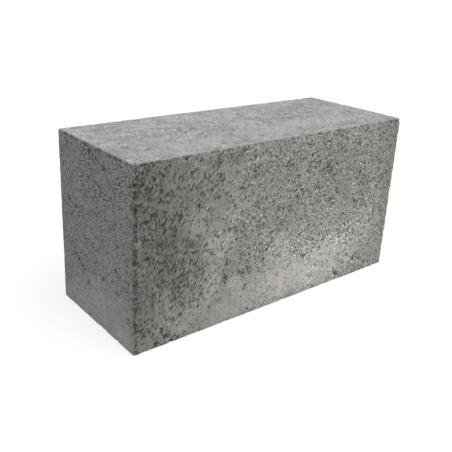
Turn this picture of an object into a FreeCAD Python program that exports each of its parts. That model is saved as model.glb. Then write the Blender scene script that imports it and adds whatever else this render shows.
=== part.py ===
"""Phosphate-bonded refractory brick: one pressed block with slightly rounded arrises.

The frame: +X along the length, +Y across the width, +Z up. The origin is at the middle
of the bottom bed, and the brick lies on that bed. All sizes are in millimetres.
"""
import FreeCAD, Part
import os

import Sketcher

# Each driving size: the name it has in the sheet, its value and what it is.
SIZES = [
    ("brick_length", 230.0, "from end to end, along X"),
    ("brick_width", 90.0, "from one long face to the other, along Y"),
    ("brick_height", 118.0, "from the bottom bed to the top bed, along Z"),
    ("corner_radius", 1.0, "the four upright arrises, where the mould's plates meet"),
    ("bed_radius", 0.8, "the arrises round the top and the bottom bed"),
]

# A direction counts as upright or level within this much of the sine of its angle.
DIRECTION_TOLERANCE = 1e-6


def add_sheet(document):
    """The spreadsheet that holds every driving size under its own name."""
    sheet = document.addObject("Spreadsheet::Sheet", "sizes")
    for row, (name, value, meaning) in enumerate(SIZES, start=1):
        sheet.set("A%d" % row, name)
        sheet.set("B%d" % row, str(value))
        sheet.setAlias("B%d" % row, name)
        sheet.set("C%d" % row, meaning)
    document.recompute()
    return sheet


def origin_plane(body, role):
    """The body's own origin plane with this role, such as XY_Plane."""
    for feature in body.Origin.OriginFeatures:
        if feature.Role == role:
            return feature
    raise RuntimeError("no origin plane " + role)


def add_bed_outline(body, sheet):
    """The bed's outline: a rectangle of length by width, centred on the origin."""
    sketch = body.newObject("Sketcher::SketchObject", "bed_outline")
    sketch.AttachmentSupport = [(origin_plane(body, "XY_Plane"), "")]
    sketch.MapMode = "FlatFace"

    half_length = sheet.brick_length / 2
    half_width = sheet.brick_width / 2
    corners = [
        FreeCAD.Vector(-half_length, -half_width, 0),
        FreeCAD.Vector(half_length, -half_width, 0),
        FreeCAD.Vector(half_length, half_width, 0),
        FreeCAD.Vector(-half_length, half_width, 0),
    ]
    for start, end in zip(corners, corners[1:] + corners[:1]):
        sketch.addGeometry(Part.LineSegment(start, end))

    front, right, back, left = range(4)
    start_point, end_point = 1, 2
    origin_line, origin_point = -1, 1
    for line, following in ((front, right), (right, back), (back, left), (left, front)):
        sketch.addConstraint(
            Sketcher.Constraint("Coincident", line, end_point, following, start_point)
        )
    for line in (front, back):
        sketch.addConstraint(Sketcher.Constraint("Horizontal", line))
    for line in (right, left):
        sketch.addConstraint(Sketcher.Constraint("Vertical", line))
    sketch.addConstraint(
        Sketcher.Constraint(
            "Symmetric", front, start_point, right, end_point, origin_line, origin_point
        )
    )
    length_rule = sketch.addConstraint(
        Sketcher.Constraint("Distance", front, sheet.brick_length)
    )
    width_rule = sketch.addConstraint(
        Sketcher.Constraint("Distance", right, sheet.brick_width)
    )
    sketch.setExpression("Constraints[%d]" % length_rule, "sizes.brick_length")
    sketch.setExpression("Constraints[%d]" % width_rule, "sizes.brick_width")
    return sketch


def upright_edges(shape):
    """Names of the straight edges that run along Z."""
    names = []
    for number, edge in enumerate(shape.Edges, start=1):
        direction = edge.tangentAt(edge.FirstParameter)
        if abs(direction.x) < DIRECTION_TOLERANCE and abs(direction.y) < DIRECTION_TOLERANCE:
            names.append("Edge%d" % number)
    return names


def bed_edges(shape, height):
    """Names of the edges that lie wholly in the bottom bed or in the top bed."""
    names = []
    for number, edge in enumerate(shape.Edges, start=1):
        low, high = edge.BoundBox.ZMin, edge.BoundBox.ZMax
        at_bottom = abs(low) < DIRECTION_TOLERANCE and abs(high) < DIRECTION_TOLERANCE
        at_top = abs(low - height) < DIRECTION_TOLERANCE and abs(high - height) < DIRECTION_TOLERANCE
        if at_bottom or at_top:
            names.append("Edge%d" % number)
    return names


def add_brick(document, sheet):
    """The brick: its bed outline raised to its height, then the arrises rounded."""
    body = document.addObject("PartDesign::Body", "brick")
    body.Label = "brick"

    block = body.newObject("PartDesign::Pad", "pressed_block")
    block.Profile = add_bed_outline(body, sheet)
    block.setExpression("Length", "sizes.brick_height")
    document.recompute()

    corners = body.newObject("PartDesign::Fillet", "upright_arrises")
    corners.Base = (block, upright_edges(block.Shape))
    corners.setExpression("Radius", "sizes.corner_radius")
    document.recompute()

    beds = body.newObject("PartDesign::Fillet", "bed_arrises")
    beds.Base = (corners, bed_edges(corners.Shape, sheet.brick_height))
    beds.setExpression("Radius", "sizes.bed_radius")

    body.Placement = FreeCAD.Placement()
    return body


def check_document(document, bodies):
    """Stops with a message if any object failed or any sub-part has no sound solid."""
    for item in document.Objects:
        if "Invalid" in item.State or "Error" in item.State:
            raise RuntimeError("%s did not compute: %s" % (item.Name, item.State))
    for body in bodies:
        if body.Shape.isNull() or not body.Shape.isValid() or len(body.Shape.Solids) != 1:
            raise RuntimeError("%s is not one sound solid" % body.Label)


def main():
    """Builds the document and writes each sub-part to parts/ under its own name."""
    document = FreeCAD.newDocument("refractory_brick")
    sheet = add_sheet(document)
    bodies = [add_brick(document, sheet)]
    document.recompute()
    check_document(document, bodies)

    os.makedirs("parts", exist_ok=True)
    for body in bodies:
        body.Shape.exportStep("parts/%s.step" % body.Label)
        box = body.Shape.optimalBoundingBox()
        print("%s: %.3f x %.3f x %.3f mm, %.1f cubic mm" % (
            body.Label, box.XLength, box.YLength, box.ZLength, body.Shape.Volume
        ))


main()
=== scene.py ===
"""Looks of a phosphate-bonded refractory brick, laid out as an add-on and run as a script.

The real brick is one block: graded bauxite and grog, wetted with phosphate binder, pressed in a
steel mould and cured without firing. Its shape here is a rounded box worked out on a lattice, with
pits, nicks and unevenness cut into it, and its material is built from nodes. Sizes in the property
groups are in metres, and the lattice and the patterns are worked out in millimetres.
"""

from itertools import product
from math import cos, pi, radians, sin

import bpy
import numpy as np
from mathutils import Matrix, Vector


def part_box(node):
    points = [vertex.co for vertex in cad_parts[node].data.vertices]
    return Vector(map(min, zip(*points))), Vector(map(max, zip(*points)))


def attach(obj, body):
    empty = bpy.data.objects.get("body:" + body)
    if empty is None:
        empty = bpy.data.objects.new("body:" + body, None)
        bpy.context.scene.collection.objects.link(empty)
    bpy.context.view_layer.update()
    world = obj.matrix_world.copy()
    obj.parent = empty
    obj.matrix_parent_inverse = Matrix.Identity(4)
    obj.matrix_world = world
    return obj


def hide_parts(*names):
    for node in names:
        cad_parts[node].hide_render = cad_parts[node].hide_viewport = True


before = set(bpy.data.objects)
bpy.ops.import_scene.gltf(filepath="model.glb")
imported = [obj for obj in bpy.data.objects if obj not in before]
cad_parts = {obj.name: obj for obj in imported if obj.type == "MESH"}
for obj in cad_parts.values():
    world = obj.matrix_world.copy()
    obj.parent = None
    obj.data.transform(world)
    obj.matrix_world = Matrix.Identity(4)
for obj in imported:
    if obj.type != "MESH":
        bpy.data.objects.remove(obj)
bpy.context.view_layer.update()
brick_low, brick_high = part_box("brick")

bl_info = {
    "name": "Refractory Brick",
    "version": (1, 0, 0),
    "blender": (4, 5, 0),
    "location": "View3D > Sidebar > Brick",
    "description": "Builds the looks of a phosphate-bonded refractory brick around its CAD solid",
    "category": "Object",
}

MM = 1000.0                       # millimetres in a metre
NOISE_PERIOD = 64                 # cells after which the lattice noise repeats
LAYER_SHIFT = 17.3                # mm that each layer of a noise is moved from the one before
LINE_SAMPLES = 8001               # samples along a side when its lattice lines are placed

# The noises in the finish and the relief: the cell in mm, the seed, how many layers, and how much
# the noise counts.
NOISES = {
    "openness": (11.0, 51, 3, 0.26),
    "broad mottle": (30.0, 61, 3, 0.09), "fine mottle": (8.0, 67, 3, 0.11),
    "bed mottle": (5.0, 69, 2, 0.16),
    "broad pink": (22.0, 71, 3, 0.20), "bed pink": (9.0, 79, 3, 0.20),
    "upright tone": (2.2, 73, 1, 0.25),
    "broad waves": (24.0, 81, 3, 0.30), "fine waves": (5.0, 83, 3, 0.20),
    "nicks": (4.5, 97, 3, 1.0), "chip roughness": (1.8, 101, 1, 0.35),
}

# What each kind of face adds to the tone, in doublings of lightness, and to the openness, and how
# much of the mottle it shows on top of a long face's.
LONG_FACE_TONE, END_TONE, BED_TONE = 0.09, -0.18, -0.14
END_OPENNESS, BED_OPENNESS = -0.12, -0.50
END_MOTTLE, BED_MOTTLE = -0.5, 0.4
MOST_OPEN = 1.6

# By the upright arrises: how far in mm the strip reaches, and what it takes and adds.
UPRIGHT_REACH, UPRIGHT_TONE, UPRIGHT_OPENNESS = 2.5, 0.04, 0.4

# Noise that bends the rims of the patches: the cell and how far it bends, in mm, and a seed for
# each axis.
BEND_CELL, BEND_REACH, BEND_SEEDS = 14.0, 6.0, (11, 23, 37)

# Pits: their cells in mm, the seed, the chance of one in a cell of plain openness, and the least
# radius and the most that can be added to it, as shares of the cell.
PIT_CELL, PIT_SEED, PIT_CHANCE = 4.4, 91, 0.16
PIT_RADIUS, PIT_RADIUS_RANGE = 0.20, 0.22

WAVE_MIDDLE, WAVE_MOST = 0.5, 1.2  # the slow waves' middle depth and the deepest, as shares
NICK_REACH = 3.0                  # mm from an arris that nicks reach
NICK_START, NICK_LEAST = 0.1, 0.25  # noise where nicks start, and the wear where there is none
CHIP_INSET, CHIP_FIRMNESS = 0.8, 1.4  # mm that a chip's middle lies inside the corner, and its rim
CUT_TURN = 4.0                    # mm from an arris where the direction of a cut starts to turn

# Blow holes: how much distance counts along X, Y and Z, how firm the rim is, the share of the
# depth that is cut, and the depth in mm at which a hole's painted shade is full.
HOLE_SHAPE, HOLE_FIRMNESS, HOLE_CUT, HOLE_SHADE_DEPTH = (0.85, 0.65, 1.0), 2.0, 0.8, 0.7

# Rows of holes: the seed, how far a row runs as a share of the half size, the part of its own
# stretch that a hole may lie in, and the least and most size.
ROW_SEED, ROW_REACH, ROW_PLACE, ROW_SIZE = 103, 0.98, (0.1, 0.9), (0.6, 1.2)

# Leaning pores on the dark left part of the front: how many mm left of the middle they start and
# how many further they are full, their lean in degrees, how much distance counts along X, Y and Z,
# and how much finer they are than the others.
LEAN_START, LEAN_FADE = 20.0, 60.0
LEAN_ANGLE, LEAN_SHAPE, LEAN_RATE = -18, (1.10, 1.0, 0.70), 1.15

# Weights in the material: lightness in doublings, then relief in units of RELIEF_UNIT mm. Then how
# far a pale clump narrows the pores in it, how wide a pore's rim is in the noise, how much weaker
# the marks are on a bed and how much evener the ground is among the leaning pores, and how ragged a
# blow hole's rim is and the share of its radius that is fully dark.
GRAIN_LIGHT, GRIT_LIGHT, BODY_LIGHT = 0.75, 2.0, 1.0
# The pore, hole and pit weights darken their hollows: painted shade.
CLUMP_LIGHT, PORE_PAINTED_SHADE, HOLE_PAINTED_SHADE, PIT_PAINTED_SHADE = 0.74, -1.40, -1.5, -1.1
PORE_RELIEF, HOLE_RELIEF, GRIT_RELIEF = -0.40, -0.80, 0.25
RELIEF_UNIT, RELIEF_STRENGTH = 0.45, 0.8
CLUMP_PULL, PORE_RIM_WIDTH, BED_SHALLOWS, LEAN_EVENS = -0.30, 0.15, -0.60, -0.40
HOLE_RAGGED, HOLE_CORE = 0.6, 0.35

# The stage: the floor's half size and how far under the brick it lies, in metres, its diffuse and
# glowing shares, the way to the softbox, and how wide the softbox looks, in degrees.
FLOOR_REACH, FLOOR_DROP = 40.0, 0.0001
FLOOR_DIFFUSE, FLOOR_GLOW = 0.30, 0.74
SOFTBOX_WAY, SOFTBOX_WIDTH = (0.10, -0.36, 0.93), 45
SENSOR_WIDTH = 36.0               # mm

# Broad patches of the finish, placed on each face: the face, the patch's middle
# across and up in mm (X and Z on a long face, Y and Z on an end, X and Y on a bed), its half sizes
# in mm, its lean in degrees, how firm its rim is (1 fades all the way from the middle, 3 only near
# the rim), and what it adds: tone in doublings of lightness, openness of the texture, and
# pinkness, where less than nothing is cooler and bluer.
# Rows marked painted shade or painted light put light and shade into the tone.
PATCHES = (
    ("front", -115, 60, 72, 260, 0, 1.0, -0.91, 0.10, 0.0),    # dark side by the left arris: painted shade, partly darker body
    ("front", -84, 56, 17, 30, 12, 2.5, -0.22, 0.20, 0.0),     # firm edge of that painted shade, half way up
    ("front", -110, 103, 6, 13, 0, 1.8, -0.35, 0.60, 0.0),     # darkest painted shade, top of the arris
    ("front", -92, 14, 38, 26, 0, 1.4, 0.42, 0.0, 0.1),        # painted shade lighter at its foot
    ("front", -110, 3, 16, 13, 0, 1.5, 0.24, -0.60, 0.3),      # smooth corner of the foot
    ("front", 14, 12, 112, 34, 2, 1.0, 0.57, -0.60, 0.5),      # paler foot: settled fines, and painted light from the floor
    ("front", 56, 34, 88, 42, 6, 1.0, 0.56, 0.15, 0.25),       # lighter lower right: painted light, partly paler body
    ("front", 10, 16, 30, 9, 0, 1.5, 0.14, -0.20, 0.1),        # palest of the fines
    ("front", 54, 29, 24, 8, 10, 1.5, 0.14, -0.15, 0.0),       # palest of the lower right
    ("front", 86, 28, 22, 14, 0, 1.4, -0.04, -0.40, 0.0),      # evener beside it
    ("front", 0, 0, 150, 8, 0, 1.0, -0.20, 0.10, 0.0),         # dull line along the foot arris
    ("front", -75, 78, 13, 10, 25, 2.2, 0.36, -0.60, 0.0),     # smooth spot, upper left
    ("front", -57, 56, 15, 18, -15, 1.6, 0.30, 0.0, -0.2),     # paler patch beside the dark edge
    ("front", -40, 44, 14, 14, 0, 1.4, -0.12, 0.0, 0.0),       # duller beside that
    ("front", -41, 77, 9, 5, -35, 1.8, 0.28, -0.20, 0.0),      # its wisp, up to the right
    ("front", -57, 33, 8, 16, -4, 1.4, 0.56, -0.05, -0.25),    # pale upright streak
    ("front", -36, 22, 10, 5, 0, 1.8, 0.26, -0.30, 0.1),       # pale spot right of its foot
    ("front", -72, 15, 24, 9, 8, 1.6, 0.06, -0.20, 0.6),       # pinkish smear
    ("front", -52, 6, 44, 13, 4, 1.3, 0.0, -0.15, 0.5),        # pinkish fines along its foot
    ("front", -76, 22, 9, 3, 8, 2.0, -0.32, 0.50, 0.3),        # dark strokes in it
    ("front", -67, 44, 5, 5, 0, 2.0, -0.30, 0.40, 0.0),        # dark notch left of the streak
    ("front", -43, 31, 7, 6, -15, 1.8, -0.66, 0.40, 0.35),     # brownish smear, its left end
    ("front", -30, 29, 9, 5, -15, 1.8, -0.56, 0.40, 0.4),      # brownish smear, its right end
    ("front", -11, 38, 5, 4, 0, 2.0, -0.34, 0.60, 0.0),        # dark spot beyond it
    ("front", -93, 4, 10, 4, 0, 2.0, -0.65, 1.20, 0.0),        # cluster of pits at the foot
    ("front", 61, 6, 8, 5, 0, 1.8, -0.20, 0.60, 0.0),          # open spot in the pale foot
    ("front", 80, 13, 12, 6, -8, 1.8, -0.16, 0.50, 0.0),       # open spot to its right
    ("front", 114, 70, 15, 80, 0, 1.3, -0.12, 0.0, -0.55),     # cooler by the right arris
    ("front", -115, 66, 13, 80, 0, 1.4, 0.04, 0.0, -0.45),     # cooler by the near arris
    ("front", 106, 16, 9, 12, 0, 1.5, -0.14, -0.20, 0.0),      # duller by the right arris
    ("front", 106, 44, 15, 20, 0, 1.2, -0.24, -0.30, 0.0),     # the same, above it
    ("front", 44, 10, 18, 12, 0, 1.4, -0.06, -0.10, 0.0),      # duller right of the palest
    ("front", 28, 27, 7, 5, 0, 1.8, -0.30, 0.60, 0.0),         # open spot above the palest foot
    ("front", -60, 96, 9, 9, 20, 1.8, -0.20, 0.50, 0.1),       # dark strokes, upper left
    ("front", -38, 63, 9, 8, 10, 1.8, -0.26, 0.40, 0.0),       # dark spot right of the pale patch
    ("front", -16, 86, 22, 32, 0, 1.2, 0.0, -0.30, 0.0),       # less open upper middle
    ("front", -46, 111, 22, 9, 0, 1.4, -0.38, 0.60, 0.0),      # dark open strip, top arris
    ("front", 6, 93, 9, 6, 0, 1.8, -0.18, 0.50, 0.0),          # dark open patch, upper middle
    ("front", 26, 88, 8, 6, 20, 1.8, 0.12, 0.0, 0.0),          # pale grains beside it
    ("front", 40, 90, 9, 6, 0, 1.8, -0.30, 0.40, 0.1),         # dark open patch, upper right
    ("front", 36, 70, 12, 6, -15, 1.6, -0.20, 0.40, 0.0),      # open, below it
    ("front", 76, 106, 22, 9, 0, 1.2, 0.16, 0.10, 0.0),        # paler by the top arris
    ("front", 62, 82, 20, 8, -10, 1.5, 0.0, 0.20, 0.25),       # brownish patch, upper right
    ("front", 91, 73, 7, 5, 0, 1.8, 0.20, 0.10, 0.0),          # pale grains, right
    ("front", -2, 56, 12, 7, 20, 1.6, -0.16, 0.10, 0.0),       # duller middle
    ("front", 6, 44, 34, 14, 0, 1.3, 0.26, 0.0, 0.0),          # paler middle
    ("left", -10, 4, 62, 38, -6, 1.6, 0.50, -0.62, 0.25),      # paler foot: settled fines, and painted light from the floor
    ("left", -36, 4, 22, 18, 0, 1.4, 0.06, -0.10, 0.2),        # smoother by the near arris
    ("left", 0, 45, 70, 26, 0, 1.0, 0.14, -0.05, 0.0),         # paler band above the fines
    ("left", 34, 8, 20, 26, 0, 1.2, 0.12, -0.20, 0.1),         # paler far corner of the foot
    ("left", -28, 100, 20, 26, 0, 1.0, -0.10, 0.10, 0.0),      # duller upper near side
    ("left", 2, 112, 12, 6, 0, 1.5, -0.22, 0.80, 0.0),         # open spot under the top arris
    ("left", -5, 92, 9, 8, 0, 1.5, -0.10, 0.50, 0.0),          # open spot below it
    ("left", 24, 36, 8, 8, 0, 1.5, -0.14, 0.50, 0.0),          # open spot, lower far side
    ("top", 46, -22, 58, 13, 5, 1.4, 0.13, -0.30, 0.0),        # smooth pale field, front right
    ("top", 32, 36, 44, 10, -8, 1.4, 0.14, -0.30, 0.0),        # smooth pale field, back
    ("top", -66, -30, 44, 10, 0, 1.4, 0.12, -0.20, 0.0),       # paler strip by the front arris
    ("top", -58, 6, 62, 13, -8, 1.2, -0.13, 0.30, 0.2),        # duller middle, left
    ("top", -13, -16, 5, 13, 30, 1.8, -0.22, 0.20, 0.1),       # dark smear in the middle
    ("top", 37, -35, 11, 4, -10, 1.8, -0.34, 0.20, 0.0),       # darker smear by the front arris
    ("top", 63, -35, 18, 4, 0, 1.8, -0.24, 0.20, 0.0),         # darker smear by the front arris
    ("top", 76, 21, 9, 9, 0, 1.6, -0.28, 0.20, 0.2),           # dark spot, right
    ("top", 48, 4, 50, 8, 12, 1.4, -0.13, 0.20, 0.2),          # duller streak, right of the middle
    ("top", 102, 20, 18, 26, -20, 1.2, -0.14, 0.10, 0.1),      # duller right end
    ("back", 40, 8, 120, 38, -2, 1.0, 0.50, -0.60, 0.4),       # paler foot: settled fines, and painted light from the floor
    ("back", 84, 70, 44, 40, 20, 1.4, -0.34, 0.20, 0.0),       # darker patch
    ("back", 12, 84, 22, 12, -15, 1.8, 0.24, -0.60, 0.1),      # smooth spot
    ("back", -46, 60, 16, 10, 25, 1.8, -0.24, 0.50, 0.2),      # brownish smear
    ("back", -78, 34, 14, 8, 0, 1.8, 0.20, -0.20, 0.0),        # pale grains
    ("right", 6, 4, 60, 36, 6, 1.6, 0.30, -0.70, 0.25),        # paler foot: settled fines, and painted light from the floor
    ("right", 16, 84, 12, 14, 10, 1.6, -0.16, 0.50, 0.0),      # open spot
    ("right", -24, 58, 9, 8, 0, 1.6, -0.14, 0.50, 0.0),        # open spot
    ("bottom", -30, 5, 90, 40, 0, 1.2, 0.10, -0.60, 0.2),      # smoother middle
    ("bottom", 60, -12, 30, 16, 15, 1.5, -0.16, 0.30, 0.0),    # duller patch
)

# The axis each face looks along, which way, and the axes that run across it and up it.
FACES = {
    "front": (1, -1, 0, 2), "back": (1, 1, 0, 2),
    "left": (0, -1, 1, 2), "right": (0, 1, 1, 2),
    "bottom": (2, -1, 0, 1), "top": (2, 1, 0, 1),
}

# How the grain is drawn out on two faces: the way, by how much, and how much finer it is.
DRAWN_OUT = {
    "left": ((0.0, -0.949, 0.316), 0.42, 0.30),
    "top": ((0.596, 0.803, 0.0), 0.45, 0.0),
}

# Larger losses, in mm: where the middle is as a share of the half sizes from the brick's middle,
# the radius of the loss, and how deep it goes.
CHIPS = (
    ((1, -1, 1), 2.6, 0.35), ((-1, -1, -1), 2.2, 0.25), ((-1, -1, 1), 2.6, 0.40),
    ((1, 1, 1), 2.6, 0.30), ((-1, 1, 1), 2.4, 0.25), ((1, -1, -1), 2.4, 0.25),
    ((-0.70, -1, 1), 2.0, 0.30), ((-0.22, -1, 1), 2.4, 0.40), ((0.36, -1, 1), 2.0, 0.30),
    ((0.77, -1, 1), 2.4, 0.35), ((-1, 0.3, 1), 2.2, 0.40), ((-1, -0.45, 1), 2.4, 0.40),
    ((1, 1, -0.3), 4.5, 0.80), ((0.25, 1, 1), 3.0, 0.35), ((-0.6, 1, -1), 4.5, 0.80),
)

# Blow holes that stand out, given as the chips are.
BLOW_HOLES = (
    ((-0.86, -1, -0.96), 1.9, 1.1), ((-0.80, -1, -0.90), 2.2, 1.1), ((-0.77, -1, -0.98), 1.8, 1.0),
    ((-0.83, -1, -0.82), 1.6, 0.6), ((0.53, -1, -0.90), 1.7, 0.6), ((0.60, -1, -0.80), 1.5, 0.5),
    ((-1, 0.06, 0.93), 1.8, 0.7), ((-1, -0.28, 0.82), 2.0, 0.8), ((-1, -0.06, 0.62), 1.6, 0.6),
    ((-1, 0.50, -0.38), 1.7, 0.6), ((-1, 0.72, 0.90), 1.6, 0.6), ((-0.92, -1, 0.74), 1.8, 0.7),
    ((-0.90, -1, 0.62), 1.6, 0.6), ((0.10, -1, 0.52), 1.7, 0.6), ((0.42, -1, 0.44), 1.8, 0.6),
    ((1, -0.30, 0.55), 2.0, 0.8), ((1, 0.42, -0.20), 1.7, 0.6), ((0.30, 1, 0.35), 2.0, 0.8),
    ((-0.62, 1, 0.70), 1.8, 0.7), ((-0.15, 1, -0.55), 1.7, 0.6),
)

# Rows of small holes along arrises: where the row's middle is, as for the chips, the axis it runs
# along, how many there are, and their radius and depth in mm.
HOLE_ROWS = (
    ((-0.988, -1.0, 0.0), 2, 30, 1.7, 0.8), ((0.0, -1.0, 0.985), 0, 34, 1.5, 0.5),
    ((-1.0, 0.0, 0.975), 1, 12, 1.7, 0.6), ((1.0, 0.0, 0.98), 1, 10, 1.5, 0.5),
    ((0.0, 1.0, 0.985), 0, 28, 1.5, 0.5), ((1.0, -1.0, 0.0), 2, 14, 1.5, 0.5),
)


def linear_colour(hex_colour):
    """The linear red, green and blue of an sRGB colour written as #RRGGBB."""
    values = np.array([int(hex_colour[i:i + 2], 16) for i in (1, 3, 5)]) / 255.0
    linear = np.where(values <= 0.04045, values / 12.92, ((values + 0.055) / 1.055) ** 2.4)
    return tuple(float(value) for value in linear)


def smoothstep(share):
    """0 below 0, 1 above 1, and 3t^2 - 2t^3 between."""
    share = np.clip(share, 0.0, 1.0)
    return share * share * (3.0 - 2.0 * share)


# ---------------------------------------------------------------------------------------------
# Property groups: what a user would change.
# ---------------------------------------------------------------------------------------------

class BrickShape(bpy.types.PropertyGroup):
    """Sizes of the block's edges and of the relief in its surface."""

    corner_radius: bpy.props.FloatProperty(
        name="Corner radius", description="Rounding of the four upright arrises",
        default=0.0010, min=0.0, unit="LENGTH",
    )
    bed_radius: bpy.props.FloatProperty(
        name="Bed radius", description="Rounding of the arrises round both beds",
        default=0.0008, min=0.0, unit="LENGTH",
    )
    face_step: bpy.props.FloatProperty(
        name="Face step", description="Distance between lattice lines on the flat faces",
        default=0.00122, min=0.0005, unit="LENGTH",
    )
    arris_step: bpy.props.FloatProperty(
        name="Arris step", description="Distance between lattice lines at the arrises",
        default=0.00035, min=0.0002, unit="LENGTH",
    )
    unevenness: bpy.props.FloatProperty(
        name="Unevenness", description="Depth of the slow waves in the faces",
        default=0.00020, min=0.0, unit="LENGTH",
    )
    pit_depth: bpy.props.FloatProperty(
        name="Pit depth", description="Depth of the largest pits",
        default=0.0011, min=0.0, unit="LENGTH",
    )
    nick_depth: bpy.props.FloatProperty(
        name="Nick depth", description="Depth of the small losses along the arrises",
        default=0.00030, min=0.0, unit="LENGTH",
    )


class BrickFinish(bpy.types.PropertyGroup):
    """Colours of the cured body and the sizes of its grain."""

    face_colour: bpy.props.FloatVectorProperty(
        name="Long face", description="Body colour on the two long faces",
        subtype="COLOR", default=linear_colour("#A2A39B"), min=0.0, max=1.0,
    )
    end_colour: bpy.props.FloatVectorProperty(
        name="End", description="Body colour on the two ends, a little cooler",
        subtype="COLOR", default=linear_colour("#A0A3A3"), min=0.0, max=1.0,
    )
    bed_colour: bpy.props.FloatVectorProperty(
        name="Bed", description="Body colour on the two beds",
        subtype="COLOR", default=linear_colour("#9E9F9E"), min=0.0, max=1.0,
    )
    fines_colour: bpy.props.FloatVectorProperty(
        name="Fines", description="Colour of the settled fines, a pinkish beige",
        subtype="COLOR", default=linear_colour("#A9A4A1"), min=0.0, max=1.0,
    )
    pore_size: bpy.props.FloatProperty(
        name="Pore size", description="Distance between neighbouring pores",
        default=0.00154, min=0.0002, unit="LENGTH",
    )
    clump_size: bpy.props.FloatProperty(
        name="Clump size", description="Size of the clumps that pores gather in",
        default=0.0045, min=0.0005, unit="LENGTH",
    )
    hole_spacing: bpy.props.FloatProperty(
        name="Hole spacing", description="Distance between neighbouring blow holes",
        default=0.0034, min=0.0005, unit="LENGTH",
    )
    grit_size: bpy.props.FloatProperty(
        name="Grit size", description="Size of the finest grit that shows",
        default=0.0009, min=0.0001, unit="LENGTH",
    )


class BrickStudio(bpy.types.PropertyGroup):
    """The stage: floor, light and camera."""

    camera_place: bpy.props.FloatVectorProperty(
        name="Camera", description="Where the camera stands",
        subtype="TRANSLATION", unit="LENGTH", default=(-0.27756, -0.31286, 0.21433),
    )
    camera_azimuth: bpy.props.FloatProperty(
        name="Azimuth", description="How far round the camera stands, from the front",
        subtype="ANGLE", default=radians(-38.98),
    )
    camera_elevation: bpy.props.FloatProperty(
        name="Elevation", description="How far the camera looks down",
        subtype="ANGLE", default=radians(20.62),
    )
    camera_roll: bpy.props.FloatProperty(
        name="Roll", description="How far the camera leans",
        subtype="ANGLE", default=radians(2.49),
    )
    lens: bpy.props.FloatProperty(
        name="Lens", description="Focal length in millimetres on a 36 mm sensor", default=49.66,
    )
    shift: bpy.props.FloatVectorProperty(
        name="Shift", description="Shift of the frame, as a share of its width",
        size=2, default=(0.031, -0.0465),
    )
    sun_strength: bpy.props.FloatProperty(
        name="Softbox", description="Light from the large softbox overhead, 1 for a plain level",
        default=0.66, min=0.0,
    )
    fill_strength: bpy.props.FloatProperty(
        name="Fill", description="Even light from all round, 1 for a plain level",
        default=0.42, min=0.0,
    )


# ---------------------------------------------------------------------------------------------
# The block's shape, in millimetres.
# ---------------------------------------------------------------------------------------------

def lattice_noise(points, cell, seed):
    """Smooth noise from -1 to 1: random values at the corners of cubic cells, mixed by smoothstep
    of the place in the cell along each axis."""
    table = np.random.default_rng(seed).uniform(-1.0, 1.0, (NOISE_PERIOD,) * 3)
    scaled = points / cell
    low = np.floor(scaled).astype(int)
    share = smoothstep(scaled - low)
    total = np.zeros(len(points))
    for corner in product((0, 1), repeat=3):
        corner = np.array(corner)
        weight = np.prod(np.where(corner == 1, share, 1.0 - share), axis=1)
        index = (low + corner) % NOISE_PERIOD
        total += weight * table[index[:, 0], index[:, 1], index[:, 2]]
    return total


def layered_noise(points, cell, seed, layers):
    """Lattice noise in layers, each with half the cell and half the strength of the one before."""
    return sum(
        lattice_noise(points + LAYER_SHIFT * layer, cell / 2 ** layer, seed + layer) / 2 ** layer
        for layer in range(layers)
    )


def noise(points, name):
    """The noise of this name in NOISES, times its weight."""
    cell, seed, layers, weight = NOISES[name]
    return weight * layered_noise(points, cell, seed, layers)


def cut_places(length, arris_step, face_step, reach=5.0):
    """Places of the lattice lines along one side, from minus half to half its length. The step
    grows by smoothstep from arris_step at both arrises to face_step at reach from them, and the
    places invert the running sum of 1 / step."""
    along = np.linspace(0.0, length, LINE_SAMPLES)
    from_arris = np.minimum(along, length - along)
    step = arris_step + (face_step - arris_step) * smoothstep(from_arris / reach)
    rate = 1.0 / step
    count = np.concatenate([[0.0], np.cumsum((rate[1:] + rate[:-1]) / 2 * np.diff(along))])
    lines = int(np.ceil(count[-1]))
    return np.interp(np.linspace(0.0, count[-1], lines + 1), count, along) - length / 2


def box_lattice(counts):
    """The closed lattice over a box's six faces: the index triple of each point, and the quads,
    which turn anticlockwise seen from outside. Faces share the points along their borders."""
    size = tuple(count + 1 for count in counts)
    quads = []
    for axis, end in product(range(3), (0, 1)):
        across, up = (axis + 1) % 3, (axis + 2) % 3
        index = np.zeros((size[across], size[up], 3), int)
        index[..., axis] = end * counts[axis]
        index[..., across], index[..., up] = np.meshgrid(
            np.arange(size[across]), np.arange(size[up]), indexing="ij"
        )
        key = np.ravel_multi_index(tuple(np.moveaxis(index, -1, 0)), size)
        quad = np.stack([key[:-1, :-1], key[1:, :-1], key[1:, 1:], key[:-1, 1:]], axis=-1)
        quads.append(quad.reshape(-1, 4)[:, ::1 if end else -1])
    keys, quads = np.unique(np.concatenate(quads), return_inverse=True)
    return np.stack(np.unravel_index(keys, size), axis=-1), quads.reshape(-1, 4)


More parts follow.
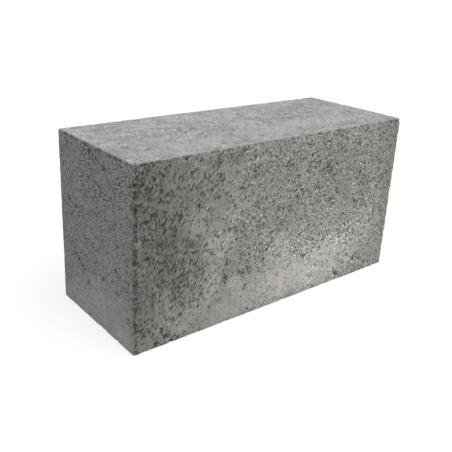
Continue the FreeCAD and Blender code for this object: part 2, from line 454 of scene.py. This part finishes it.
def round_box(points, half, corner_radius, bed_radius):
    """Rounds points on a sharp box of these half sizes, and gives the outward direction at each.

    In plan the part of a point beyond the corner's centre, d, becomes d * max|d| / |d|, which
    turns a square into a quarter disc. Then the same is done in the upright plane through the
    outline's own normal: a is how far the point is into the bed's rounding sideways and b how far
    upwards, and (a, b) becomes (a, b) * max(a, b) / |(a, b)|. The direction is (a, b) made unit.
    """
    sign = np.sign(points)
    plan = np.maximum(np.abs(points[:, :2]) - (half[:2] - corner_radius), 0.0)
    length = np.maximum(np.linalg.norm(plan, axis=1), 1e-9)
    moved = plan * (plan.max(axis=1) / length)[:, None]
    outline = np.abs(points[:, :2]) - plan + moved
    reach = np.linalg.norm(moved, axis=1)
    outwards = plan / length[:, None]

    sideways = np.clip(reach - (corner_radius - bed_radius), 0.0, bed_radius)
    upwards = np.clip(np.abs(points[:, 2]) - (half[2] - bed_radius), 0.0, bed_radius)
    slope = np.maximum(np.hypot(sideways, upwards), 1e-9)
    shrink = np.maximum(sideways, upwards) / slope
    outline += outwards * (sideways * (shrink - 1.0))[:, None]
    height = np.abs(points[:, 2]) + upwards * (shrink - 1.0)

    rounded = np.column_stack([outline, height]) * sign
    direction = np.column_stack([outwards * (sideways / slope)[:, None], upwards / slope]) * sign
    return rounded, direction


def cut_direction(points, half, reach):
    """The outward direction of a box rounded by reach, against which the block is cut inwards."""
    beyond = np.maximum(np.abs(points) - (half - reach), 0.0)
    length = np.maximum(np.linalg.norm(beyond, axis=1), 1e-9)
    return np.sign(points) * beyond / length[:, None]


def patch_fields(points, direction, half):
    """Tone, openness and pinkness at each point: the sum of the patches on its face, each fading
    by smoothstep from its middle to its rim. Noise bends the rims so that no patch is an oval."""
    bend = [layered_noise(points, BEND_CELL, seed, 3) for seed in BEND_SEEDS]
    bent = points + np.column_stack(bend) * BEND_REACH
    fields = np.zeros((len(points), 3))
    for face, across, up, half_across, half_up, lean, firmness, *added in PATCHES:
        axis, way, across_axis, up_axis = FACES[face]
        away = bent[:, (across_axis, up_axis)] - (across, up)
        if up_axis == 2:
            away[:, 1] += half[2]
        turn = radians(lean)
        along = away[:, 0] * cos(turn) + away[:, 1] * sin(turn)
        beside = away[:, 1] * cos(turn) - away[:, 0] * sin(turn)
        weight = smoothstep(firmness * (1.0 - np.hypot(along / half_across, beside / half_up)))
        weight *= np.clip(direction[:, axis] * way, 0.0, 1.0) ** 2
        fields += weight[:, None] * added
    return fields.T


def pit_field(points, cell, seed, keep):
    """Depth of the pits from 0 to 1: each cubic cell may hold one round pit with a random middle
    and radius, and a pit's depth is 1 - (distance / radius)^2. A pit is kept where its random
    number is under keep."""
    chance = np.random.default_rng(seed).random((NOISE_PERIOD,) * 3 + (5,))
    low = np.floor(points / cell).astype(int)
    depth = np.zeros(len(points))
    for offset in product((-1, 0, 1), repeat=3):
        index = (low + offset) % NOISE_PERIOD
        draw = chance[index[:, 0], index[:, 1], index[:, 2]]
        middle = (low + offset + draw[:, :3]) * cell
        radius = cell * (PIT_RADIUS + PIT_RADIUS_RANGE * draw[:, 3])
        shape = 1.0 - (np.linalg.norm(points - middle, axis=1) / radius) ** 2
        depth = np.maximum(depth, np.where(draw[:, 4] < keep, shape, 0.0))
    return depth


def hole_rows():
    """The holes of HOLE_ROWS one by one, spaced and sized unevenly, each given as a chip is."""
    chance = np.random.default_rng(ROW_SEED)
    holes = []
    for middle, along, count, radius, depth in HOLE_ROWS:
        share = (np.arange(count) + chance.uniform(*ROW_PLACE, count)) / count
        places = share * (2 * ROW_REACH) - ROW_REACH
        for place, size in zip(places, chance.uniform(*ROW_SIZE, count)):
            at = [place if axis == along else middle[axis] for axis in range(3)]
            holes.append((tuple(at), radius * size, depth * size))
    return tuple(holes)


def finish_fields(rounded, direction, gaps, half):
    """Tone, openness and pinkness at each point: the patches, what each kind of face adds, the
    mottle, and the duller and more open strips by the upright arrises."""
    tone, openness, pinkness = patch_fields(rounded, direction, half)
    end, bed = direction[:, 0] ** 2, direction[:, 2] ** 2
    openness += 1.0 + END_OPENNESS * end + BED_OPENNESS * bed + noise(rounded, "openness")
    mottle = noise(rounded, "broad mottle") + noise(rounded, "fine mottle")
    mottle += bed * noise(rounded, "bed mottle")
    tone += mottle * (1.0 + END_MOTTLE * end + BED_MOTTLE * bed)
    tone += LONG_FACE_TONE + END_TONE * end + BED_TONE * bed
    pinkness += noise(rounded, "broad pink") + bed * noise(rounded, "bed pink")

    by_upright = smoothstep(1.0 - gaps[:, :2].max(axis=1) / UPRIGHT_REACH) * (1.0 - bed)
    tone -= by_upright * (UPRIGHT_TONE + noise(rounded, "upright tone"))
    openness = np.clip(openness + UPRIGHT_OPENNESS * by_upright, 0.0, MOST_OPEN)
    return tone, openness, pinkness


def arris_losses(rounded, gaps, half, nick_depth):
    """Depth in mm of the nicks along the arrises and of the chips, and the painted shade in the
    blow holes, from 0 to 1 and over. A blow hole is cut as well, and the deepest loss holds."""
    by_arris = smoothstep(1.0 - np.sort(gaps, axis=1)[:, 1] / NICK_REACH)
    nicks = smoothstep((noise(rounded, "nicks") - NICK_START) / (1.0 - NICK_START)) + NICK_LEAST
    losses = by_arris * nicks * nick_depth
    rough = 1.0 + noise(rounded, "chip roughness")
    for middle, radius, depth in CHIPS:
        away = np.linalg.norm(rounded - half * middle + CHIP_INSET * rounded / half, axis=1)
        chip = depth * smoothstep(CHIP_FIRMNESS * (1.0 - away / radius)) * rough
        losses = np.maximum(losses, chip)
    painted_hole_shade = np.zeros(len(rounded))
    for middle, radius, depth in BLOW_HOLES + hole_rows():
        away = np.linalg.norm((rounded - half * middle) * HOLE_SHAPE, axis=1)
        hole = depth * smoothstep(HOLE_FIRMNESS * (1.0 - away / radius))
        losses = np.maximum(losses, HOLE_CUT * hole)
        painted_hole_shade = np.maximum(painted_hole_shade, hole / HOLE_SHADE_DEPTH)
    return losses, painted_hole_shade


def drawn_out_place(rounded, direction):
    """Where each point looks up its grain, in mm: its own place, pressed together along the way
    that the grain of its face is drawn out."""
    grain_place = rounded.copy()
    for face, (way, amount, finer) in DRAWN_OUT.items():
        axis, side = FACES[face][:2]
        share = np.clip(side * direction[:, axis, None], 0.0, 1.0) ** 2
        grain_place *= 1.0 + finer * share
        grain_place -= amount * share * (grain_place @ np.array(way))[:, None] * way
    return grain_place


def block_surface(half, shape):
    """Points, quads and fields of the finished block.

    The rounded box is cut inwards by three things added together: slow waves in the faces, pits,
    and losses along the arrises and corners. All are cut along a direction that is the face's own
    on a face and turns slowly round an arris, so that no cut folds over the next."""
    step, fine = shape.face_step * MM, shape.arris_step * MM
    lines = [cut_places(2 * side, fine, step) for side in half]
    index, quads = box_lattice([len(line) - 1 for line in lines])
    sharp = np.column_stack([lines[axis][index[:, axis]] for axis in range(3)])
    rounded, direction = round_box(sharp, half, shape.corner_radius * MM, shape.bed_radius * MM)
    gaps = half - np.abs(sharp)
    tone, openness, pinkness = finish_fields(rounded, direction, gaps, half)

    waves = WAVE_MIDDLE + noise(rounded, "broad waves") + noise(rounded, "fine waves")
    pits = pit_field(rounded, PIT_CELL, PIT_SEED, PIT_CHANCE * openness)
    depth = np.clip(waves, 0.0, WAVE_MOST) * shape.unevenness * MM + pits * shape.pit_depth * MM
    losses, painted_hole_shade = arris_losses(rounded, gaps, half, shape.nick_depth * MM)
    surface = rounded - cut_direction(sharp, half, CUT_TURN) * (depth + losses)[:, None]
    surface = np.clip(surface, -half, half)

    slant = smoothstep((-rounded[:, 0] - LEAN_START) / LEAN_FADE)
    slant *= np.clip(-direction[:, 1], 0.0, 1.0)
    end, bed = direction[:, 0] ** 2, direction[:, 2] ** 2
    # The pit field only darkens the colour: painted shade in the pits and the blow holes.
    fields = {
        "tone": tone, "openness": openness, "pinkness": np.clip(pinkness, 0.0, 1.0),
        "coolness": np.clip(np.maximum(end, -pinkness), 0.0, 1.0),
        "pit": np.maximum(pits, painted_hole_shade), "slant": slant, "end_share": end, "bed_share": bed,
        "grain_place": drawn_out_place(rounded, direction),
    }
    return surface, quads, fields


# ---------------------------------------------------------------------------------------------
# Materials.
# ---------------------------------------------------------------------------------------------

def add(tree, kind, inputs=None, give=0, **settings):
    """Adds one node of this kind and returns its output give, if it has outputs. Inputs are by
    name or number, each a value or another node's output; settings are its own properties."""
    node = tree.nodes.new(kind)
    for name, value in settings.items():
        setattr(node, name, value)
    for name, value in (inputs or {}).items():
        if isinstance(value, bpy.types.NodeSocket):
            tree.links.new(value, node.inputs[name])
        else:
            node.inputs[name].default_value = value
    return node.outputs[give] if len(node.outputs) else None


def pressed_body_material(finish):
    """Phosphate-bonded bauxite body, pressed and cured: a dull grey stone-like face. Pressing
    leaves fines between the coarser grains, and worm-shaped pores where the mix bridged over, so
    the eye gets salt-and-pepper grain, pores darkened with painted shade, and smoother paler places
    where fines settled, whose paleness is partly painted light."""
    material = bpy.data.materials.new("pressed phosphate-bonded bauxite body")
    material.use_nodes = True
    tree = material.node_tree
    tree.nodes.clear()

    place = add(tree, "ShaderNodeAttribute", attribute_name="grain_place", give="Vector")
    upright = add(tree, "ShaderNodeVectorMath", {
        0: add(tree, "ShaderNodeTexCoord", give="Object"), "Scale": MM,
    }, operation="SCALE")
    # The pit field is painted shade in the pits and blow holes.
    fields = {
        name: add(tree, "ShaderNodeAttribute", attribute_name=name, give="Fac")
        for name in ("tone", "openness", "pinkness", "coolness", "pit", "slant", "end_share",
                     "bed_share")
    }
    openness = fields["openness"]

    # Pores: the low places of a noise. On the dark side they are drawn out and lean to the right.
    pore_rate = 1.0 / (finish.pore_size * MM)
    even = add(tree, "ShaderNodeTexNoise", {
        "Vector": place, "Scale": pore_rate, "Detail": 1.5, "Roughness": 0.55,
    }, normalize=True)
    leaning = add(tree, "ShaderNodeVectorMath", {
        0: add(tree, "ShaderNodeVectorRotate", {
            "Vector": upright, "Angle": radians(LEAN_ANGLE),
        }, rotation_type="Y_AXIS"),
        1: LEAN_SHAPE,
    }, operation="MULTIPLY")
    drawn = add(tree, "ShaderNodeTexNoise", {
        "Vector": leaning, "Scale": LEAN_RATE * pore_rate, "Detail": 1.5, "Roughness": 0.5,
    }, normalize=True)
    body = add(tree, "ShaderNodeMix", {0: fields["slant"], 2: even, 3: drawn}, data_type="FLOAT")
    clumps = add(tree, "ShaderNodeTexNoise", {
        "Vector": place, "Scale": 1.0 / (finish.clump_size * MM), "Detail": 1.0, "Roughness": 0.5,
    }, normalize=True)
    clumps = add(tree, "ShaderNodeMath", {0: clumps, 1: 0.5}, operation="SUBTRACT")
    pore_rim = add(tree, "ShaderNodeMapRange", {
        "Value": openness, "From Min": 0.0, "From Max": 1.5, "To Min": 0.36, "To Max": 0.50,
    })
    pore_rim = add(tree, "ShaderNodeMath", {0: clumps, 1: CLUMP_PULL, 2: pore_rim},
                   operation="MULTIPLY_ADD")
    pore_core = add(tree, "ShaderNodeMath", {0: pore_rim, 1: PORE_RIM_WIDTH},
                    operation="SUBTRACT")
    shallow = add(tree, "ShaderNodeMath", {0: fields["bed_share"], 1: BED_SHALLOWS, 2: 1.0},
                  operation="MULTIPLY_ADD")
    pores = add(tree, "ShaderNodeMapRange", {
        "Value": body, "From Min": pore_rim, "From Max": pore_core, "To Min": 0.0,
        "To Max": shallow,
    }, interpolation_type="SMOOTHSTEP")

    # Blow holes: in some cells, a ragged hole in painted shade. Its radius comes from the cell's
    # own number.
    off_the_face = add(tree, "ShaderNodeMath", {
        0: fields["end_share"], 1: fields["bed_share"],
    }, operation="ADD")
    cells = {
        "Vector": add(tree, "ShaderNodeMix", {0: off_the_face, 4: leaning, 5: place},
                      data_type="VECTOR", give=1),
        "Scale": 1.0 / (finish.hole_spacing * MM), "Randomness": 1.0,
    }
    number = add(tree, "ShaderNodeSeparateColor", {
        0: add(tree, "ShaderNodeTexVoronoi", cells, give="Color"),
    })
    radius = add(tree, "ShaderNodeMapRange", {
        "Value": number, "From Min": 0.40, "From Max": 1.0, "To Min": 0.01, "To Max": 0.32,
    })
    radius = add(tree, "ShaderNodeMath", {0: radius, 1: openness}, operation="MULTIPLY")
    ragged = add(tree, "ShaderNodeMath", {0: body, 1: 0.5}, operation="SUBTRACT")
    ragged = add(tree, "ShaderNodeMath", {
        0: ragged, 1: HOLE_RAGGED, 2: add(tree, "ShaderNodeTexVoronoi", cells, give="Distance"),
    }, operation="MULTIPLY_ADD")
    holes = add(tree, "ShaderNodeMapRange", {
        "Value": ragged, "From Min": radius, "To Min": 0.0, "To Max": shallow,
        "From Max": add(tree, "ShaderNodeMath", {0: radius, 1: HOLE_CORE}, operation="MULTIPLY"),
    }, interpolation_type="SMOOTHSTEP")

    # Pale grains: the high places of the same noise, stronger where the texture is open.
    grain_rise = add(tree, "ShaderNodeMapRange", {
        "Value": body, "From Min": 0.50, "From Max": 0.72, "To Min": 0.0, "To Max": 1.0,
    }, interpolation_type="SMOOTHSTEP")
    grains = add(tree, "ShaderNodeMath", {0: grain_rise, 1: openness}, operation="MULTIPLY")
    evenness = add(tree, "ShaderNodeMath", {0: fields["slant"], 1: LEAN_EVENS, 2: 1.0},
                   operation="MULTIPLY_ADD")
    grains = add(tree, "ShaderNodeMath", {0: grains, 1: evenness}, operation="MULTIPLY")

    # Grit: the finest sand that shows.
    grit = add(tree, "ShaderNodeTexNoise", {
        "Vector": place, "Scale": 1.0 / (finish.grit_size * MM), "Detail": 2.0, "Roughness": 0.6,
    })

    # Lightness in doublings: grain and grit, weaker where the face is smooth, then the broad tone,
    # which holds some painted light and shade, the clumps, and painted shade in the pores, holes
    # and pits.
    light = add(tree, "ShaderNodeMath", {0: grains, 1: GRAIN_LIGHT}, operation="MULTIPLY")
    centred = add(tree, "ShaderNodeMath", {0: grit, 1: 0.5}, operation="SUBTRACT")
    light = add(tree, "ShaderNodeMath", {0: centred, 1: GRIT_LIGHT, 2: light},
                operation="MULTIPLY_ADD")
    centred = add(tree, "ShaderNodeMath", {0: body, 1: 0.5}, operation="SUBTRACT")
    centred = add(tree, "ShaderNodeMath", {0: centred, 1: evenness}, operation="MULTIPLY")
    light = add(tree, "ShaderNodeMath", {0: centred, 1: BODY_LIGHT, 2: light},
                operation="MULTIPLY_ADD")
    strength = add(tree, "ShaderNodeMapRange", {
        "Value": openness, "From Min": 0.0, "From Max": 1.2, "To Min": 0.35, "To Max": 1.0,
    })
    light = add(tree, "ShaderNodeMath", {
        0: light, 1: strength, 2: fields["tone"],
    }, operation="MULTIPLY_ADD")
    for mark, weight in (
        (clumps, CLUMP_LIGHT), (pores, PORE_PAINTED_SHADE), (holes, HOLE_PAINTED_SHADE), (fields["pit"], PIT_PAINTED_SHADE),
    ):
        light = add(tree, "ShaderNodeMath", {0: mark, 1: weight, 2: light},
                    operation="MULTIPLY_ADD")
    factor = add(tree, "ShaderNodeMath", {0: 2.0, 1: light}, operation="POWER")

    base = add(tree, "ShaderNodeMix", {
        0: fields["coolness"], 6: (*finish.face_colour, 1.0), 7: (*finish.end_colour, 1.0),
    }, data_type="RGBA", give=2)
    base = add(tree, "ShaderNodeMix", {
        0: fields["bed_share"], 6: base, 7: (*finish.bed_colour, 1.0),
    }, data_type="RGBA", give=2)
    base = add(tree, "ShaderNodeMix", {
        0: fields["pinkness"], 6: base, 7: (*finish.fines_colour, 1.0),
    }, data_type="RGBA", give=2)
    colour = add(tree, "ShaderNodeVectorMath", {0: base, "Scale": factor}, operation="SCALE")

    # Relief: pores and holes go in, grit stands out.
    relief = add(tree, "ShaderNodeMath", {0: body, 1: evenness}, operation="MULTIPLY")
    for mark, weight in ((pores, PORE_RELIEF), (holes, HOLE_RELIEF), (grit, GRIT_RELIEF)):
        relief = add(tree, "ShaderNodeMath", {0: mark, 1: weight, 2: relief},
                     operation="MULTIPLY_ADD")
    normal = add(tree, "ShaderNodeBump", {
        "Height": relief, "Strength": RELIEF_STRENGTH, "Distance": RELIEF_UNIT / MM,
    })
    roughness = add(tree, "ShaderNodeMapRange", {
        "Value": openness, "From Min": 0.0, "From Max": 1.0, "To Min": 0.78, "To Max": 0.95,
    })
    shader = add(tree, "ShaderNodeBsdfPrincipled", {
        "Base Color": colour, "Roughness": roughness, "Normal": normal, "IOR": 1.5,
    })
    add(tree, "ShaderNodeOutputMaterial", {"Surface": shader})
    return material


def floor_material(diffuse, glow):
    """Matt white-painted board: a dull diffuse face that keeps the soft shadow. To the camera it
    also glows faintly, so that it reads as white paper without more light on the brick."""
    material = bpy.data.materials.new("matt white board")
    material.use_nodes = True
    tree = material.node_tree
    tree.nodes.clear()
    board = add(tree, "ShaderNodeBsdfDiffuse", {"Color": (diffuse, diffuse, diffuse, 1.0)})
    paper = add(tree, "ShaderNodeEmission", {"Strength": seen_directly(tree, glow, 0.0)})
    surface = add(tree, "ShaderNodeAddShader", {0: board, 1: paper})
    add(tree, "ShaderNodeOutputMaterial", {"Surface": surface})
    return material


def seen_directly(tree, seen, unseen):
    """A strength that is seen for what the camera sees, straight or in a glossy or clear surface,
    and unseen for the light that falls on things."""
    rays = {name: add(tree, "ShaderNodeLightPath", give=name)
            for name in ("Is Camera Ray", "Is Glossy Ray", "Is Transmission Ray")}
    direct = add(tree, "ShaderNodeMath", {
        0: rays["Is Camera Ray"], 1: rays["Is Glossy Ray"],
    }, operation="MAXIMUM")
    direct = add(tree, "ShaderNodeMath", {
        0: direct, 1: rays["Is Transmission Ray"],
    }, operation="MAXIMUM")
    return add(tree, "ShaderNodeMix", {0: direct, 2: unseen, 3: seen}, data_type="FLOAT")


# ---------------------------------------------------------------------------------------------
# Operators.
# ---------------------------------------------------------------------------------------------

class BRICK_OT_press_block(bpy.types.Operator):
    """Builds the pressed block around the CAD solid and gives it its cured body's finish"""

    bl_idname = "brick.press_block"
    bl_label = "Press the block"

    def execute(self, context):
        shape, finish = context.scene.brick_shape, context.scene.brick_finish
        half = np.array(brick_high - brick_low) / 2 * MM
        middle = np.array(brick_high + brick_low) / 2
        points, quads, fields = block_surface(half, shape)

        mesh = bpy.data.meshes.new("pressed_block")
        mesh.from_pydata(points / MM + middle, [], quads)
        for name, values in fields.items():
            kind, part = ("FLOAT", "value") if values.ndim == 1 else ("FLOAT_VECTOR", "vector")
            attribute = mesh.attributes.new(name, kind, "POINT")
            attribute.data.foreach_set(part, values.astype(np.float32).ravel())
        mesh.polygons.foreach_set("use_smooth", np.ones(len(quads), bool))
        mesh.materials.append(pressed_body_material(finish))
        mesh.update()

        block = bpy.data.objects.new("pressed_block", mesh)
        context.scene.collection.objects.link(block)
        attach(block, "root")
        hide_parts("brick")
        return {"FINISHED"}


class BRICK_OT_set_stage(bpy.types.Operator):
    """Lays the floor, lights it softly and stands the camera"""

    bl_idname = "brick.set_stage"
    bl_label = "Set the stage"

    def execute(self, context):
        scene, studio = context.scene, context.scene.brick_studio
        self.lay_floor(scene)
        self.light(scene, studio)
        self.stand_camera(scene, studio)
        scene.view_settings.view_transform = "Standard"
        return {"FINISHED"}

    def lay_floor(self, scene):
        """A wide flat board just under the brick."""
        reach = FLOOR_REACH
        corners = [(-reach, -reach), (reach, -reach), (reach, reach), (-reach, reach)]
        mesh = bpy.data.meshes.new("floor")
        mesh.from_pydata([(x, y, -FLOOR_DROP) for x, y in corners], [], [(0, 1, 2, 3)])
        mesh.materials.append(floor_material(FLOOR_DIFFUSE, FLOOR_GLOW))
        floor = bpy.data.objects.new("floor", mesh)
        scene.collection.objects.link(floor)

    def light(self, scene, studio):
        """A large softbox high in front and a little to the right, as a broad sun, and an even
        fill."""
        softbox = bpy.data.lights.new("softbox", "SUN")
        softbox.energy = studio.sun_strength * pi
        softbox.angle = radians(SOFTBOX_WIDTH)
        lamp = bpy.data.objects.new("softbox", softbox)
        lamp.rotation_euler = Vector(SOFTBOX_WAY).to_track_quat("Z", "Y").to_euler()
        scene.collection.objects.link(lamp)

        world = bpy.data.worlds.new("studio")
        world.use_nodes = True
        tree = world.node_tree
        tree.nodes.clear()
        strength = seen_directly(tree, 1.0, studio.fill_strength)
        surroundings = add(tree, "ShaderNodeBackground", {
            "Color": (1.0, 1.0, 1.0, 1.0), "Strength": strength,
        })
        add(tree, "ShaderNodeOutputWorld", {"Surface": surroundings})
        scene.world = world

    def stand_camera(self, scene, studio):
        """The camera looks back along its own azimuth and elevation, and leans by its roll."""
        azimuth, elevation, roll = (
            studio.camera_azimuth, studio.camera_elevation, studio.camera_roll
        )
        backwards = Vector((
            sin(azimuth) * cos(elevation), -cos(azimuth) * cos(elevation), sin(elevation)
        ))
        level = Vector((cos(azimuth), sin(azimuth), 0.0))
        upright = backwards.cross(level)
        across = level * cos(roll) + upright * sin(roll)
        up = upright * cos(roll) - level * sin(roll)
        camera = bpy.data.cameras.new("camera")
        camera.sensor_width = SENSOR_WIDTH
        camera.lens = studio.lens
        camera.shift_x, camera.shift_y = studio.shift
        camera.clip_start, camera.clip_end = 0.01, 200.0
        stand = bpy.data.objects.new("camera", camera)
        turn = Matrix((across, up, backwards)).transposed().to_4x4()
        stand.matrix_world = Matrix.Translation(studio.camera_place) @ turn
        scene.collection.objects.link(stand)
        scene.camera = stand


class BRICK_PT_sidebar(bpy.types.Panel):
    """The brick's sizes, colours and stage in the sidebar"""

    bl_idname = "BRICK_PT_sidebar"
    bl_label = "Refractory brick"
    bl_space_type = "VIEW_3D"
    bl_region_type = "UI"
    bl_category = "Brick"

    def draw(self, context):
        layout = self.layout
        for group, operator in (
            ("brick_shape", None),
            ("brick_finish", BRICK_OT_press_block.bl_idname),
            ("brick_studio", BRICK_OT_set_stage.bl_idname),
        ):
            settings = getattr(context.scene, group)
            column = layout.column()
            for name in settings.__annotations__:
                column.prop(settings, name)
            if operator:
                layout.operator(operator)


CLASSES = (
    BrickShape, BrickFinish, BrickStudio,
    BRICK_OT_press_block, BRICK_OT_set_stage, BRICK_PT_sidebar,
)


def register():
    """Registers the classes and hangs the settings on the scene."""
    for item in CLASSES:
        bpy.utils.register_class(item)
    bpy.types.Scene.brick_shape = bpy.props.PointerProperty(type=BrickShape)
    bpy.types.Scene.brick_finish = bpy.props.PointerProperty(type=BrickFinish)
    bpy.types.Scene.brick_studio = bpy.props.PointerProperty(type=BrickStudio)


def unregister():
    """Takes the settings and the classes away again."""
    del bpy.types.Scene.brick_studio
    del bpy.types.Scene.brick_finish
    del bpy.types.Scene.brick_shape
    for item in reversed(CLASSES):
        bpy.utils.unregister_class(item)


def main():
    """Builds the brick and its stage."""
    register()
    bpy.ops.brick.press_block()
    bpy.ops.brick.set_stage()


if __name__ == "__main__":
    main()
